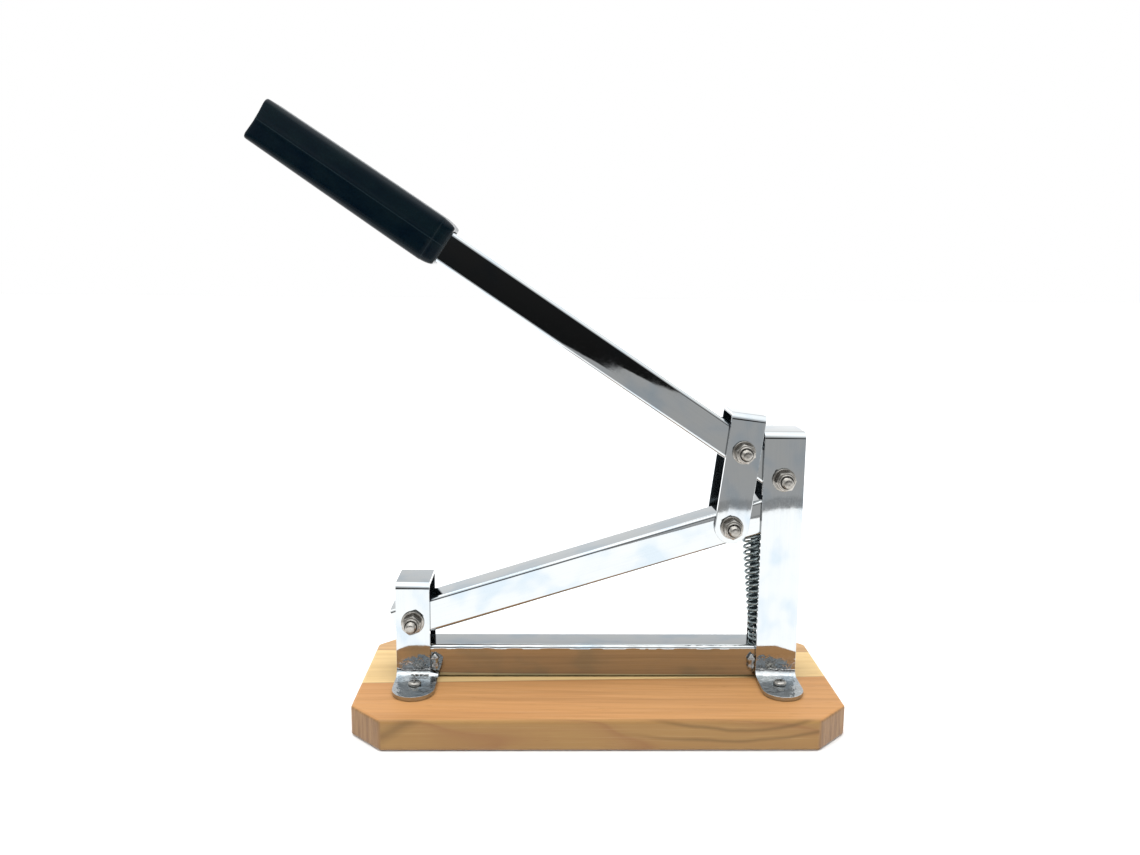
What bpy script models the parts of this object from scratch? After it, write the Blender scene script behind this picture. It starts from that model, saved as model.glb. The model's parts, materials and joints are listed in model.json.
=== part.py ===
"""Lever tile cutter on a wooden board.

A square-tube beam lies on the board between a short and a tall post, both of them flat strips
folded into an upside-down U. The arm is hinged in the short post. A long lever is hinged in the
tall post, and a U-shaped link hangs the free end of the arm from it, so the arm comes down
when the grip is pushed down. A coil spring between beam and arm lifts both again.

Frame: origin at the centre of the board's underside, X along the beam, +Y to the rear, +Z up.
"""
import math

import bmesh
import bpy
from mathutils import Matrix, Vector

MM = 0.001
GAP = 0.3 * MM

# Board
BOARD_LENGTH = 350 * MM
BOARD_DEPTH = 160 * MM
BOARD_THICKNESS = 22 * MM
BOARD_CLIP = 24 * MM
BOARD_EDGE = 2 * MM

# Folded strips
STRIP = 3 * MM
STRIP_BEND = 3.5 * MM
FOOT_BEND = 7 * MM
STRIP_INSIDE = 32 * MM
MECHANISM_Y = 7 * MM
FOOT_REACH = 38.5 * MM
FLARE_HEIGHT = 5.5 * MM
FLARE_SLOPE = 1 * MM
LEFT_POST_X = -136.8 * MM
LEFT_POST_WIDTH = 25 * MM
LEFT_FOOT_WIDTH = 31 * MM
LEFT_POST_TOP = 96.5 * MM
RIGHT_POST_X = 134.7 * MM
RIGHT_POST_WIDTH = 30 * MM
RIGHT_POST_TOP = 210.8 * MM
LINK_WIDTH = 25 * MM
LINK_ABOVE_BOLT = 28 * MM

# Tubes, set towards the front legs of the strips
TUBE_DEPTH = 25 * MM
TUBE_SHIFT = -3 * MM
TUBE_WALL = 1.5 * MM
TUBE_CORNER = 2.6 * MM
BEAM_HEIGHT = 25 * MM
ARM_HEIGHT = 25 * MM
LEVER_HEIGHT = 23.5 * MM
ARM_BEHIND_HINGE = 14.5 * MM
ARM_BEYOND_LINK = 32 * MM
LEVER_BEHIND_HINGE = 9 * MM
LEVER_LENGTH = 438 * MM

# Linkage at rest
LEVER_HINGE_Z = 175.8 * MM
LEVER_ANGLE = math.radians(33.9)
CRANK = 36.1 * MM
LINK_LENGTH = 56.4 * MM
LINK_TILT = math.radians(7.0)
ARM_HINGE_Z = 66.6 * MM
OPEN_PIVOT_HOLE = 13.6 * MM

# Grip: distance from the lever's hinge, height, depth and corner radius of each section
GRIP_SECTIONS = (
    (295.5 * MM, 27.6 * MM, 32.6 * MM, 3.5 * MM),
    (299.0 * MM, 31.0 * MM, 35.6 * MM, 5.0 * MM),
    (304.0 * MM, 34.0 * MM, 38.0 * MM, 7.0 * MM),
    (380.0 * MM, 33.0 * MM, 37.4 * MM, 7.0 * MM),
    (438.0 * MM, 31.4 * MM, 36.4 * MM, 6.0 * MM),
    (446.8 * MM, 31.2 * MM, 36.2 * MM, 5.0 * MM),
    (448.0 * MM, 29.0 * MM, 34.0 * MM, 4.0 * MM),
)
GRIP_SOCKET_CLEARANCE = 0.8 * MM

# Fasteners
BOLT_RADIUS = 4 * MM
BOLT_HOLE_RADIUS = 4.4 * MM
WASHER_RADIUS = 8.5 * MM
WASHER_THICKNESS = 1.6 * MM
HEX_ACROSS_FLATS = 13 * MM
HEX_CORNER_RADIUS = 7.3 * MM
NUT_LENGTH = 8 * MM
NUT_HEX_LENGTH = 6.2 * MM
NUT_COLLAR_RADIUS = 5.9 * MM
HEAD_LENGTH = 5.3 * MM
THREAD_BEYOND_NUT = 4.5 * MM
FASTENER_CHAMFER = 0.9 * MM
SCREW_RADIUS = 2 * MM
SCREW_LENGTH = 16 * MM
SCREW_HEAD_RADIUS = 4.75 * MM
SCREW_HEAD_HEIGHT = 2.8 * MM
SCREW_RECESS = 1.4 * MM
SCREW_RECESS_REACH = 2.6 * MM
SCREW_RECESS_WIDTH = 1.1 * MM
SCREW_POINT = 3 * MM
FOOT_HOLE_RADIUS = 2.5 * MM
LEFT_SCREW_REACH = 16.5 * MM
RIGHT_SCREW_REACH = 15.6 * MM

# Return spring
SPRING_FOOT_X = 125.7 * MM
SPRING_HEAD_X = 117.5 * MM
SPRING_RADIUS = 8.1 * MM
SPRING_WIRE = 1.8 * MM
SPRING_TURNS = 16
STUD_RADIUS = 5.5 * MM
STUD_HEIGHT = 10 * MM

# Welds
WELD_HALF_WIDTH = 2.9 * MM
WELD_HALF_HEIGHT = 6.7 * MM
WELD_PROUD = 0.6 * MM
WELD_MIDDLE = 12.5 * MM

# Fineness, and the length of cutters that pass through a piece
ROUND_STEPS = 24
SCREW_HOLE_STEPS = 16
SPRING_STEPS = 16
CORNER_STEPS = 4
MERGED = 0.002 * MM
CUT_THROUGH = 100 * MM

# Worked out from the above
BOARD_TOP = BOARD_THICKNESS
RESTING = BOARD_TOP + GAP
BEAM_TOP = RESTING + BEAM_HEIGHT
TUBE_Y = MECHANISM_Y + TUBE_SHIFT
FORWARD = Vector((0, TUBE_SHIFT, 0))
HALF_OUTSIDE = STRIP_INSIDE / 2 + STRIP
ARM_HINGE = Vector((LEFT_POST_X, MECHANISM_Y, ARM_HINGE_Z))
LEVER_HINGE = Vector((RIGHT_POST_X, MECHANISM_Y, LEVER_HINGE_Z))
LINK_HINGE = LEVER_HINGE + CRANK * Vector((-math.cos(LEVER_ANGLE), 0, math.sin(LEVER_ANGLE)))
OPEN_PIVOT = LINK_HINGE - LINK_LENGTH * Vector((math.sin(LINK_TILT), 0, math.cos(LINK_TILT)))
ARM_SPAN = (OPEN_PIVOT - ARM_HINGE).length
ARM_ANGLE = math.atan2(OPEN_PIVOT.z - ARM_HINGE.z, OPEN_PIVOT.x - ARM_HINGE.x)

# Turns an outline's plane so that its thickness runs along the named axis
THICKNESS_ALONG = {
    "X": Matrix(((0, 0, 1, 0), (1, 0, 0, 0), (0, 1, 0, 0), (0, 0, 0, 1))),
    "Y": Matrix(((1, 0, 0, 0), (0, 0, -1, 0), (0, 1, 0, 0), (0, 0, 0, 1))),
    "Z": Matrix.Identity(4),
}


def clear_scene():
    for item in list(bpy.data.objects):
        bpy.data.objects.remove(item)


def new_collection(name):
    group = bpy.data.collections.new(name)
    bpy.context.scene.collection.children.link(group)
    return group


def new_material(name, colour, roughness, metallic):
    finish = bpy.data.materials.new(name)
    finish.use_nodes = True
    shader = finish.node_tree.nodes["Principled BSDF"]
    shader.inputs["Base Color"].default_value = (*colour, 1)
    shader.inputs["Roughness"].default_value = roughness
    shader.inputs["Metallic"].default_value = metallic
    return finish


# ---------------------------------------------------------------- outlines

def circle(radius, steps=ROUND_STEPS):
    turns = [2 * math.pi * step / steps for step in range(steps)]
    return [(radius * math.cos(a), radius * math.sin(a)) for a in turns]


def rounded_rectangle(width, height, radius, steps=CORNER_STEPS):
    points = []
    for quarter, (side_x, side_y) in enumerate(((1, 1), (-1, 1), (-1, -1), (1, -1))):
        for step in range(steps + 1):
            a = math.pi / 2 * (quarter + step / steps)
            points.append((side_x * (width / 2 - radius) + radius * math.cos(a),
                           side_y * (height / 2 - radius) + radius * math.sin(a)))
    return points


def clipped_rectangle(width, height, clip):
    x, y = width / 2, height / 2
    return [(x, clip - y), (x, y - clip), (x - clip, y), (clip - x, y),
            (-x, y - clip), (-x, clip - y), (clip - x, -y), (x - clip, -y)]


def stadium(width, length, steps=12):
    """Round-ended outline, its length along the second axis."""
    radius = width / 2
    points = []
    for side, start in ((1, 0), (-1, math.pi)):
        for step in range(steps + 1):
            a = start + math.pi * step / steps
            points.append((radius * math.cos(a), side * (length / 2 - radius) + radius * math.sin(a)))
    return points


def plus_sign(reach, width):
    """A cross whose arms narrow towards their tips."""
    root = width / 2
    tip = 0.7 * root
    points = []
    for quarter in range(4):
        c, s = round(math.cos(math.pi / 2 * quarter)), round(math.sin(math.pi / 2 * quarter))
        for x, y in ((root, root), (tip, reach), (-tip, reach)):
            points.append((c * x - s * y, s * x + c * y))
    return points


def hexagon(across_flats):
    return circle(across_flats / 2 / math.cos(math.pi / 6), steps=6)


def folded_strip(corners, thickness, bends, steps=5):
    """Edge-on outline of a flat strip folded at each inner corner; bends are its middle line's radii."""
    corners = [Vector(corner) for corner in corners]
    route = [(corners[0], (corners[1] - corners[0]).normalized())]
    for before, corner, after, bend in zip(corners, corners[1:], corners[2:], bends):
        heading = (corner - before).normalized()
        leaving = (after - corner).normalized()
        turn = math.atan2(heading.x * leaving.y - heading.y * leaving.x, heading.dot(leaving))
        side = math.copysign(bend, turn)
        start = corner - heading * bend * math.tan(abs(turn) / 2)
        hub = start + side * Vector((-heading.y, heading.x))
        for step in range(steps + 1):
            a = turn * step / steps
            ahead = Vector((heading.x * math.cos(a) - heading.y * math.sin(a),
                            heading.x * math.sin(a) + heading.y * math.cos(a)))
            route.append((hub - side * Vector((-ahead.y, ahead.x)), ahead))
    route.append((corners[-1], (corners[-1] - corners[-2]).normalized()))
    half = thickness / 2
    left = [point + half * Vector((-ahead.y, ahead.x)) for point, ahead in route]
    right = [point - half * Vector((-ahead.y, ahead.x)) for point, ahead in route]
    return [tuple(point) for point in left + right[::-1]]


# ---------------------------------------------------------------- solids

def place(item, group, finish=None, frame=None, at=(0, 0, 0)):
    group.objects.link(item)
    item.location = at
    item.parent = frame
    if finish:
        item.data.materials.append(finish)
    return item


def extruded_mesh(name, loops, length, along):
    """A closed mesh from flat loops, the inner ones holes, thickened evenly along an axis."""
    shape = bpy.data.curves.new(name, "CURVE")
    shape.dimensions = "2D"
    shape.fill_mode = "BOTH"
    shape.extrude = length / 2
    shape.render_resolution_u = 0
    for loop in loops:
        spline = shape.splines.new("POLY")
        spline.points.add(len(loop) - 1)
        for point, (x, y) in zip(spline.points, loop):
            point.co = (x, y, 0, 1)
        spline.use_cyclic_u = True
    carrier = bpy.data.objects.new(name, shape)
    bpy.context.scene.collection.objects.link(carrier)
    graph = bpy.context.evaluated_depsgraph_get()
    mesh = bpy.data.meshes.new_from_object(carrier.evaluated_get(graph))
    bpy.data.objects.remove(carrier)
    bpy.data.curves.remove(shape)
    mesh.name = name
    work = bmesh.new()
    work.from_mesh(mesh)
    bmesh.ops.remove_doubles(work, verts=work.verts, dist=MERGED)
    bmesh.ops.transform(work, matrix=THICKNESS_ALONG[along], verts=work.verts)
    bmesh.ops.recalc_face_normals(work, faces=work.faces)
    work.to_mesh(mesh)
    work.free()
    return mesh


def extruded(name, loops, length, along):
    return bpy.data.objects.new(name, extruded_mesh(name, loops, length, along))


def turned(name, profile, steps=ROUND_STEPS):
    """A profile of (radius, height) points turned about Z, closed if it starts off the axis."""
    mesh = bpy.data.meshes.new(name)
    edges = [(i, i + 1) for i in range(len(profile) - 1)]
    if profile[0][0] > 0:
        edges.append((len(profile) - 1, 0))
    mesh.from_pydata([(radius, 0, height) for radius, height in profile], edges, [])
    item = bpy.data.objects.new(name, mesh)
    turning = item.modifiers.new("Turn", "SCREW")
    turning.steps = steps
    turning.render_steps = steps
    turning.use_merge_vertices = True
    turning.merge_threshold = MERGED
    return item


def turned_along_y(name, profile):
    """As turned, but about Y, with the profile's height running towards the front."""
    item = turned(name, profile)
    item.rotation_euler = (math.pi / 2, 0, 0)
    return item


def smooth(item, degrees=35):
    item.data.shade_smooth()
    item.data.set_sharp_from_angle(angle=math.radians(degrees))


def combine(item, other, operation):
    joint = item.modifiers.new(operation.title(), "BOOLEAN")
    joint.operation = operation
    joint.object = other
    joint.solver = "EXACT"


def guide(item, frame=None, at=(0, 0, 0)):
    place(item, CUTTERS, frame=frame, at=at)
    item.hide_render = True
    item.display_type = "WIRE"
    return item


def drill_along_y(item, radius, frame=None, at=(0, 0, 0)):
    drill = extruded(item.name + "_drill", [circle(radius)], CUT_THROUGH, "Y")
    combine(item, guide(drill, frame, at), "DIFFERENCE")


def drill_along_z(item, radius, depth, at):
    drill = extruded(item.name + "_drill", [circle(radius, SCREW_HOLE_STEPS)], 2 * depth, "Z")
    combine(item, guide(drill, at=at), "DIFFERENCE")


def frame_at(name, at, turn):
    """An empty on a hinge, turned about Y so that its X runs along the hinged piece."""
    empty = bpy.data.objects.new(name, None)
    empty.empty_display_size = 0.02
    PARTS.objects.link(empty)
    empty.location = at
    empty.rotation_euler = (0, turn, 0)
    return empty


# ---------------------------------------------------------------- pieces

def screw_places():
    """Where each foot screw stands: name, x and y."""
    places = []
    for side, name in ((-1, "front"), (1, "rear")):
        for post, x, reach in (("left", LEFT_POST_X + (LEFT_FOOT_WIDTH - LEFT_POST_WIDTH) / 2,
                                LEFT_SCREW_REACH), ("right", RIGHT_POST_X, RIGHT_SCREW_REACH)):
            places.append((f"foot_screw_{post}_{name}", x, MECHANISM_Y + side * (HALF_OUTSIDE + reach)))
    return places


def make_board():
    outline = clipped_rectangle(BOARD_LENGTH, BOARD_DEPTH, BOARD_CLIP)
    board = extruded("base_board", [outline], BOARD_THICKNESS, "Z")
    place(board, PARTS, WOOD, at=(0, 0, BOARD_THICKNESS / 2))
    edge = board.modifiers.new("Eased edges", "BEVEL")
    edge.width = BOARD_EDGE
    edge.segments = 3
    edge.limit_method = "ANGLE"
    for _, x, y in screw_places():
        drill_along_z(board, SCREW_RADIUS + GAP, SCREW_LENGTH, (x, y, BOARD_TOP))


def tube_loops(height):
    outer = rounded_rectangle(TUBE_DEPTH, height, TUBE_CORNER)
    inner = rounded_rectangle(TUBE_DEPTH - 2 * TUBE_WALL, height - 2 * TUBE_WALL, TUBE_CORNER - TUBE_WALL)
    return [outer, inner]


def make_tube(name, height, start, end, frame=None, at=(0, 0, 0)):
    """A tube along X from start to end, measured from its frame or place."""
    tube = extruded(name, tube_loops(height), end - start, "X")
    place(tube, PARTS, PLATED_STEEL, frame, Vector(at) + Vector(((start + end) / 2, 0, 0)))
    smooth(tube)
    return tube


def make_beam():
    start = LEFT_POST_X - LEFT_POST_WIDTH / 2
    end = RIGHT_POST_X + RIGHT_POST_WIDTH / 2
    make_tube("lower_beam", BEAM_HEIGHT, start, end, at=(0, TUBE_Y, RESTING + BEAM_HEIGHT / 2))


def post_profile(top):
    """The folded strip seen along X, its first axis measured from the mechanism's middle."""
    leg = STRIP_INSIDE / 2 + STRIP / 2
    foot = HALF_OUTSIDE + FOOT_REACH
    low = RESTING + STRIP / 2
    high = top - STRIP / 2
    corners = [(-foot, low), (-leg, low), (-leg, high), (leg, high), (leg, low), (foot, low)]
    return folded_strip(corners, STRIP, (FOOT_BEND, STRIP_BEND, STRIP_BEND, FOOT_BEND))


def make_post(name, x, width, foot_width, top, hinge_z):
    """A strip folded up, over and down again, with its round-ended feet turned outwards."""
    foot_shift = (foot_width - width) / 2
    post = extruded(name, [post_profile(top)], foot_width, "X")
    place(post, PARTS, PLATED_STEEL, at=(x + foot_shift, MECHANISM_Y, 0))
    smooth(post)
    plan = extruded(name + "_plan", [stadium(foot_width, 2 * (HALF_OUTSIDE + FOOT_REACH))], 3 * top, "Z")
    combine(post, guide(plan, at=(x + foot_shift, MECHANISM_Y, 0)), "INTERSECT")
    if foot_width > width:
        right = width / 2
        far = right + foot_width
        shoulder = RESTING + FLARE_HEIGHT
        low = shoulder - FLARE_SLOPE
        flare = [(right, shoulder), (far - width, low), (far, low), (far, 2 * top), (right, 2 * top)]
        waste = extruded(name + "_waste", [flare], CUT_THROUGH, "Y")
        combine(post, guide(waste, at=(x, MECHANISM_Y, 0)), "DIFFERENCE")
    drill_along_y(post, BOLT_HOLE_RADIUS, at=(x, MECHANISM_Y, hinge_z))
    for screw, screw_x, screw_y in screw_places():
        if abs(screw_x - x) < width:
            drill_along_z(post, FOOT_HOLE_RADIUS, 3 * STRIP, (screw_x, screw_y, BOARD_TOP))


def make_link():
    leg = STRIP_INSIDE / 2 + STRIP / 2
    bottom = -LINK_LENGTH - LINK_WIDTH / 2
    high = LINK_ABOVE_BOLT - STRIP / 2
    corners = [(-leg, bottom), (-leg, high), (leg, high), (leg, bottom)]
    profile = folded_strip(corners, STRIP, (STRIP_BEND, STRIP_BEND))
    link = place(extruded("link_strap", [profile], LINK_WIDTH, "X"), PARTS, PLATED_STEEL, LINK_FRAME)
    smooth(link)
    face = stadium(LINK_WIDTH, 2 * -bottom)
    combine(link, guide(extruded("link_face", [face], CUT_THROUGH, "Y"), LINK_FRAME), "INTERSECT")
    drill_along_y(link, BOLT_HOLE_RADIUS, LINK_FRAME)
    drill_along_y(link, BOLT_HOLE_RADIUS, LINK_FRAME, (0, 0, -LINK_LENGTH))


def make_arm():
    arm = make_tube("arm_tube", ARM_HEIGHT, -ARM_BEHIND_HINGE, ARM_SPAN + ARM_BEYOND_LINK, ARM_FRAME, FORWARD)
    drill_along_y(arm, BOLT_HOLE_RADIUS, ARM_FRAME)
    drill_along_y(arm, OPEN_PIVOT_HOLE / 2, ARM_FRAME, (ARM_SPAN, 0, 0))


def make_lever():
    lever = make_tube("lever_tube", LEVER_HEIGHT, -LEVER_LENGTH, LEVER_BEHIND_HINGE, LEVER_FRAME, FORWARD)
    drill_along_y(lever, BOLT_HOLE_RADIUS, LEVER_FRAME)
    drill_along_y(lever, BOLT_HOLE_RADIUS, LEVER_FRAME, (-CRANK, 0, 0))


def lofted_mesh(name, sections):
    """A closed skin over rounded-rectangle sections set along -X."""
    work = bmesh.new()
    rings = []
    for distance, height, depth, radius in sections:
        loop = rounded_rectangle(depth, height, radius)
        rings.append([work.verts.new((-distance, y, z)) for y, z in loop])
    for ring, following in zip(rings, rings[1:]):
        for i, corner in enumerate(ring):
            work.faces.new((corner, ring[i - 1], following[i - 1], following[i]))
    work.faces.new(rings[0])
    work.faces.new(rings[-1][::-1])
    bmesh.ops.recalc_face_normals(work, faces=work.faces)
    mesh = bpy.data.meshes.new(name)
    work.to_mesh(mesh)
    work.free()
    return mesh


def make_grip():
    grip = bpy.data.objects.new("lever_grip", lofted_mesh("lever_grip", GRIP_SECTIONS))
    place(grip, PARTS, BLACK_RUBBER, LEVER_FRAME, FORWARD)
    smooth(grip)
    depth = TUBE_DEPTH + GRIP_SOCKET_CLEARANCE
    height = LEVER_HEIGHT + GRIP_SOCKET_CLEARANCE
    end = LEVER_LENGTH + GRIP_SOCKET_CLEARANCE
    length = 2 * (end - GRIP_SECTIONS[0][0])
    loop = rounded_rectangle(depth, height, TUBE_CORNER)
    socket = extruded("grip_socket", [loop], length, "X")
    combine(grip, guide(socket, LEVER_FRAME, (length / 2 - end, TUBE_SHIFT, 0)), "DIFFERENCE")


def hexagonal(item, frame, at):
    """Cuts a turned piece to a hexagon, leaving its narrower stretches round."""
    prism = extruded(item.name + "_hexagon", [hexagon(HEX_ACROSS_FLATS)], CUT_THROUGH, "Y")
    combine(item, guide(prism, frame, at), "INTERSECT")
    smooth(item)


def make_bolt(name, frame, at):
    """A bolt from the rear, its head behind the strips and its lock nut in front."""
    washer_face = HALF_OUTSIDE + GAP + WASHER_THICKNESS + GAP
    nut_end = washer_face + NUT_LENGTH
    thread_end = nut_end + THREAD_BEYOND_NUT
    head_end = -(washer_face + HEAD_LENGTH)
    chamfer = FASTENER_CHAMFER
    shank = BOLT_RADIUS - GAP / 3
    profile = [(0, thread_end), (shank - chamfer, thread_end), (shank, thread_end - chamfer),
               (shank, -washer_face), (HEX_CORNER_RADIUS, -washer_face),
               (HEX_CORNER_RADIUS, head_end + chamfer), (HEX_CORNER_RADIUS - chamfer, head_end),
               (0, head_end)]
    bolt = place(turned_along_y(name + "_bolt", profile), PARTS, FASTENER_STEEL, frame, at)
    hexagonal(bolt, frame, at)
    bore = BOLT_RADIUS + GAP
    hex_end = washer_face + NUT_HEX_LENGTH
    profile = [(bore, nut_end), (NUT_COLLAR_RADIUS - chamfer, nut_end),
               (NUT_COLLAR_RADIUS, nut_end - chamfer), (NUT_COLLAR_RADIUS, hex_end),
               (HEX_CORNER_RADIUS - chamfer, hex_end), (HEX_CORNER_RADIUS, hex_end - chamfer),
               (HEX_CORNER_RADIUS, washer_face), (bore, washer_face)]
    nut = place(turned_along_y(name + "_nut", profile), PARTS, FASTENER_STEEL, frame, at)
    hexagonal(nut, frame, at)
    middle = HALF_OUTSIDE + GAP + WASHER_THICKNESS / 2
    for side, where in ((-1, "front"), (1, "rear")):
        ring = [circle(WASHER_RADIUS), circle(bore)]
        washer = extruded(f"{name}_washer_{where}", ring, WASHER_THICKNESS, "Y")
        place(washer, PARTS, FASTENER_STEEL, frame, Vector(at) + Vector((0, side * middle, 0)))
        smooth(washer)


def make_foot_screw(name, x, y):
    head_base = RESTING + STRIP + GAP
    radius, height = SCREW_HEAD_RADIUS, SCREW_HEAD_HEIGHT
    dome = [(radius * math.sin(a), height * (0.4 + 0.6 * math.cos(a)))
            for a in (math.pi / 2 * step / 4 for step in range(5))]
    profile = dome + [(radius, 0), (SCREW_RADIUS, 0), (SCREW_RADIUS, SCREW_POINT - SCREW_LENGTH),
                      (0, -SCREW_LENGTH)]
    screw = place(turned(name, profile, 20), PARTS, FASTENER_STEEL, at=(x, y, head_base))
    cross = plus_sign(SCREW_RECESS_REACH, SCREW_RECESS_WIDTH)
    recess = extruded(name + "_recess", [cross], 2 * SCREW_RECESS, "Z")
    combine(screw, guide(recess, at=(x, y, head_base + height)), "DIFFERENCE")
    smooth(screw)


def arm_underside(x):
    return ARM_HINGE.z + (x - ARM_HINGE.x) * math.tan(ARM_ANGLE) - ARM_HEIGHT / 2 / math.cos(ARM_ANGLE)


def make_spring():
    """A coil that stands upright on the beam and tilts towards its head to lie flat on the arm."""
    low = BEAM_TOP + GAP + SPRING_WIRE / 2
    high = arm_underside(SPRING_HEAD_X) - GAP - SPRING_WIRE / 2 / math.cos(ARM_ANGLE)
    steps = SPRING_TURNS * SPRING_STEPS
    shape = bpy.data.curves.new("return_spring", "CURVE")
    shape.dimensions = "3D"
    shape.bevel_depth = SPRING_WIRE / 2
    shape.bevel_resolution = 2
    shape.use_fill_caps = True
    shape.render_resolution_u = 0
    spline = shape.splines.new("POLY")
    spline.points.add(steps)
    for step, point in enumerate(spline.points):
        share = step / steps
        a = 2 * math.pi * SPRING_TURNS * share
        dx = SPRING_RADIUS * math.cos(a)
        middle = SPRING_FOOT_X + share * (SPRING_HEAD_X - SPRING_FOOT_X)
        rise = low + share * (high - low) + share * dx * math.tan(ARM_ANGLE)
        point.co = (middle + dx, TUBE_Y + SPRING_RADIUS * math.sin(a), rise, 1)
    place(bpy.data.objects.new("return_spring", shape), PARTS, SPRING_STEEL)


def make_spring_stud():
    stud = extruded("spring_stud", [circle(STUD_RADIUS)], STUD_HEIGHT, "Z")
    middle = BEAM_TOP + GAP + STUD_HEIGHT / 2
    place(stud, PARTS, PLATED_STEEL, at=(SPRING_FOOT_X, TUBE_Y, middle))
    smooth(stud)


def make_welds():
    """A bead from the beam's side to the inner edge of each post leg, a little proud of the leg."""
    for post, edge, inward in (("left", LEFT_POST_X + LEFT_POST_WIDTH / 2, 1),
                               ("right", RIGHT_POST_X - RIGHT_POST_WIDTH / 2, -1)):
        for side, where in ((-1, "front"), (1, "rear")):
            name = f"weld_bead_{post}_{where}"
            beam_side = TUBE_Y + side * (TUBE_DEPTH / 2 + GAP)
            outside = MECHANISM_Y + side * (HALF_OUTSIDE + WELD_PROUD)
            half_depth = abs(outside - beam_side) / 2
            work = bmesh.new()
            bmesh.ops.create_uvsphere(work, u_segments=12, v_segments=8, radius=1)
            size = (WELD_HALF_WIDTH, half_depth, WELD_HALF_HEIGHT)
            bmesh.ops.scale(work, vec=size, verts=work.verts)
            mesh = bpy.data.meshes.new(name)
            work.to_mesh(mesh)
            work.free()
            x = edge + inward * (WELD_HALF_WIDTH + GAP)
            bead = place(bpy.data.objects.new(name, mesh), PARTS, WELD_STEEL,
                         at=(x, (beam_side + outside) / 2, RESTING + WELD_MIDDLE))
            smooth(bead, 60)


clear_scene()
PARTS = new_collection("lever_tile_cutter")
CUTTERS = new_collection("lever_tile_cutter_cutters")

WOOD = new_material("oiled_wood", (0.62, 0.38, 0.17), 0.5, 0.0)
PLATED_STEEL = new_material("plated_steel", (0.72, 0.73, 0.75), 0.2, 1.0)
WELD_STEEL = new_material("weld_steel", (0.55, 0.55, 0.54), 0.25, 1.0)
FASTENER_STEEL = new_material("fastener_steel", (0.58, 0.56, 0.52), 0.3, 1.0)
SPRING_STEEL = new_material("spring_steel", (0.10, 0.11, 0.11), 0.4, 1.0)
BLACK_RUBBER = new_material("black_grip", (0.01, 0.02, 0.025), 0.5, 0.0)

ARM_FRAME = frame_at("arm_frame", ARM_HINGE, -ARM_ANGLE)
LEVER_FRAME = frame_at("lever_frame", LEVER_HINGE, LEVER_ANGLE)
LINK_FRAME = frame_at("link_frame", LINK_HINGE, LINK_TILT)

make_board()
make_beam()
make_post("left_post", LEFT_POST_X, LEFT_POST_WIDTH, LEFT_FOOT_WIDTH, LEFT_POST_TOP, ARM_HINGE_Z)
make_post("right_post", RIGHT_POST_X, RIGHT_POST_WIDTH, RIGHT_POST_WIDTH, RIGHT_POST_TOP, LEVER_HINGE_Z)
make_link()
make_arm()
make_lever()
make_grip()
make_bolt("arm_hinge", None, ARM_HINGE)
make_bolt("lever_hinge", None, LEVER_HINGE)
make_bolt("link_upper", LINK_FRAME, (0, 0, 0))
make_bolt("link_lower", LINK_FRAME, (0, 0, -LINK_LENGTH))
for screw_name, place_x, place_y in screw_places():
    make_foot_screw(screw_name, place_x, place_y)
make_spring()
make_spring_stud()
make_welds()
bpy.context.view_layer.update()
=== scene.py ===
"""Lever tile cutter on a wooden board: finishes, detailed pieces, camera and studio.

Row frame, in metres: X along the beam, +Y to the rear, +Z up, origin under the board's middle.
"""

import json
import math

import bmesh
import bpy
from mathutils import Matrix, Vector, noise


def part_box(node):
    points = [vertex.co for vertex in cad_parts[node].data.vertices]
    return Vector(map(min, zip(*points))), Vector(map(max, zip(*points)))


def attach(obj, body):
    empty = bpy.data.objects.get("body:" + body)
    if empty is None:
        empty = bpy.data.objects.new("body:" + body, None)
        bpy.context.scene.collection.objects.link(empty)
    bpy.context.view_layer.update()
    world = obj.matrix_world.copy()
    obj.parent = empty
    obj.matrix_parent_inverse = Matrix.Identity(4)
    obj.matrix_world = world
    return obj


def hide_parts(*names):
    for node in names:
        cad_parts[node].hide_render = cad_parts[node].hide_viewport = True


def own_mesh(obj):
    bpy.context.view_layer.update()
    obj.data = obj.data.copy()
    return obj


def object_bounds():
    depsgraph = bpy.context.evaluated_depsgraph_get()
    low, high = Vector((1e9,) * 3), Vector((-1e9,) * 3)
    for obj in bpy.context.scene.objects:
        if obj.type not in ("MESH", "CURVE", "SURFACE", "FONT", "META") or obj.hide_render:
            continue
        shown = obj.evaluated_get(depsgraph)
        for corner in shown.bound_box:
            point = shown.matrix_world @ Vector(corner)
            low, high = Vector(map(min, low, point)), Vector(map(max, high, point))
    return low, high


MM = 0.001

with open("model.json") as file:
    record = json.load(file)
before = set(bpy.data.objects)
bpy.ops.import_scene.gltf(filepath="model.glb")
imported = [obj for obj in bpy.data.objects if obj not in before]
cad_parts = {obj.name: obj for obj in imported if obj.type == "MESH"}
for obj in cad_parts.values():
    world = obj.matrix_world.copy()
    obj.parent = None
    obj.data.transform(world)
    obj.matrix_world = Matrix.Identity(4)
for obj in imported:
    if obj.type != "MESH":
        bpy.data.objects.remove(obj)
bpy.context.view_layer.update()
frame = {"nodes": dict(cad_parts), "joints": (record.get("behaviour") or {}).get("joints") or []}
NODES = frame["nodes"]
HINGES = {joint["name"]: Vector(joint["pos_m"]) for joint in frame["joints"]}
ARM_HINGE = HINGES["arm_hinge"]
LEVER_HINGE = HINGES["lever_hinge"]
LINK_HINGE = HINGES["link_hinge"]


def middle(node):
    low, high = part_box(node)
    return (low + high) / 2


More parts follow.
